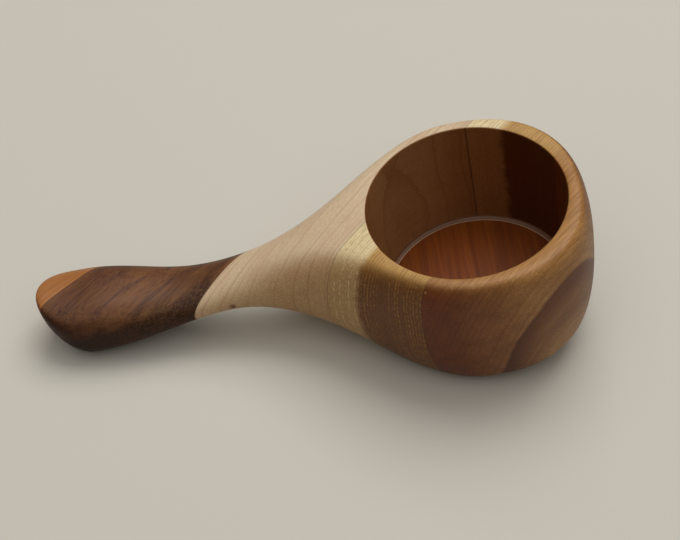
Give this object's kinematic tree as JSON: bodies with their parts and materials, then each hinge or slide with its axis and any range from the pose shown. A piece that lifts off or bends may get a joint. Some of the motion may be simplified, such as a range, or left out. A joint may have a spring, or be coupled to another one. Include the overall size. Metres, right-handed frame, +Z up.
{
  "type": "wooden cup",
  "caption": "Small one-handled cup carved from a laminated block of contrasting woods, with a round straight bore, a glued-in floor disc and a bulb-ended handle.",
  "frame": {"origin": "middle of the bounding box at the table surface, with the cup at rest on its base edge and on the bulb of its handle", "axes": "+Z up from the table, +X from the handle towards the front of the cup, XZ is the cup's plane of symmetry; the bore leans from +Z towards -X"},
  "size_m": [0.1716, 0.0722, 0.0543],
  "materials": {
    "cherry": "oiled, satin, orange-brown",
    "walnut": "oiled, satin, dark brown with darker streaks",
    "maple": "oiled, satin, pale pinkish cream",
    "locust": "oiled, satin, pale yellow sapwood running into brown heartwood",
    "pear": "oiled, satin, tan-brown with a broad darker growth band",
    "floor_wood": "oiled, satin, orange-brown with straight streaks"
  },
  "bodies": {
    "root": {"handle_tip": "cherry", "grip": "walnut", "neck": "maple", "band_near": "locust", "band_far": "locust", "front": "pear", "floor": "floor_wood"}
  },
  "joints": []
}
